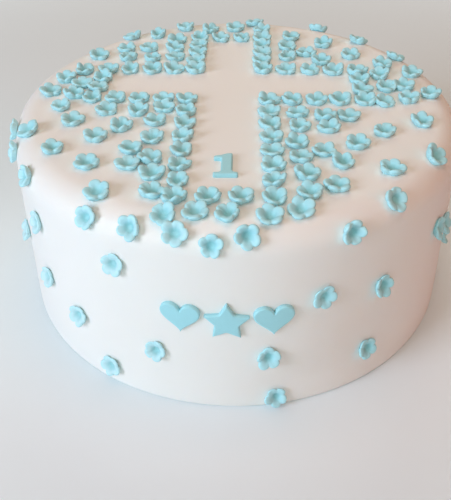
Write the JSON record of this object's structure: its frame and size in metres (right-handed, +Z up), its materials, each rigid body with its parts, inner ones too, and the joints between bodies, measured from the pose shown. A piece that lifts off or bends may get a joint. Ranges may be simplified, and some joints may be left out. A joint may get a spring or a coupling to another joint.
{
  "type": "christening cake",
  "caption": "Round iced christening cake with a cross of small cupped blossoms on top, a numeral, and blossoms and cut-outs on its side.",
  "frame": {"origin": "the middle of the flat base that the cake rests on", "axes": "+Z up, out of the top; the cross's upright runs along Y, with its foot and the front of the cake at -Y"},
  "size_m": [0.2213, 0.2212, 0.0995],
  "materials": {
    "white_paste": "smooth matte",
    "blossom_paste": "smooth matte",
    "cutout_paste": "smooth matte"
  },
  "bodies": {
    "root": {"cake": "white_paste", "cross_blossom_01": "blossom_paste", "cross_blossom_02": "blossom_paste", "cross_blossom_03": "blossom_paste", "cross_blossom_04": "blossom_paste", "cross_blossom_05": "blossom_paste", "cross_blossom_06": "blossom_paste", "cross_blossom_07": "blossom_paste", "cross_blossom_08": "blossom_paste", "cross_blossom_09": "blossom_paste", "cross_blossom_10": "blossom_paste", "cross_blossom_11": "blossom_paste", "cross_blossom_12": "blossom_paste", "cross_blossom_13": "blossom_paste", "cross_blossom_14": "blossom_paste", "cross_blossom_15": "blossom_paste", "cross_blossom_16": "blossom_paste", "cross_blossom_17": "blossom_paste", "cross_blossom_18": "blossom_paste", "cross_blossom_19": "blossom_paste", "cross_blossom_20": "blossom_paste", "cross_blossom_21": "blossom_paste", "cross_blossom_22": "blossom_paste", "cross_blossom_23": "blossom_paste", "cross_blossom_24": "blossom_paste", "cross_blossom_25": "blossom_paste", "cross_blossom_26": "blossom_paste", "cross_blossom_27": "blossom_paste", "cross_blossom_28": "blossom_paste", "cross_blossom_29": "blossom_paste", "cross_blossom_30": "blossom_paste", "cross_blossom_31": "blossom_paste", "cross_blossom_32": "blossom_paste", "cross_blossom_33": "blossom_paste", "cross_blossom_34": "blossom_paste", "cross_blossom_35": "blossom_paste", "cross_blossom_36": "blossom_paste", "cross_blossom_37": "blossom_paste", "cross_blossom_38": "blossom_paste", "cross_blossom_39": "blossom_paste", "cross_blossom_40": "blossom_paste", "cross_blossom_41": "blossom_paste", "cross_blossom_42": "blossom_paste", "cross_blossom_43": "blossom_paste", "cross_blossom_44": "blossom_paste", "cross_blossom_45": "blossom_paste", "cross_blossom_46": "blossom_paste", "cross_blossom_47": "blossom_paste", "cross_blossom_48": "blossom_paste", "cross_blossom_49": "blossom_paste", "cross_blossom_50": "blossom_paste", "side_blossom_1": "blossom_paste", "side_blossom_2": "blossom_paste", "side_blossom_3": "blossom_paste", "side_blossom_4": "blossom_paste", "numeral_one": "cutout_paste", "heart_left": "cutout_paste", "star_middle": "cutout_paste", "heart_right": "cutout_paste"}
  },
  "joints": []
}
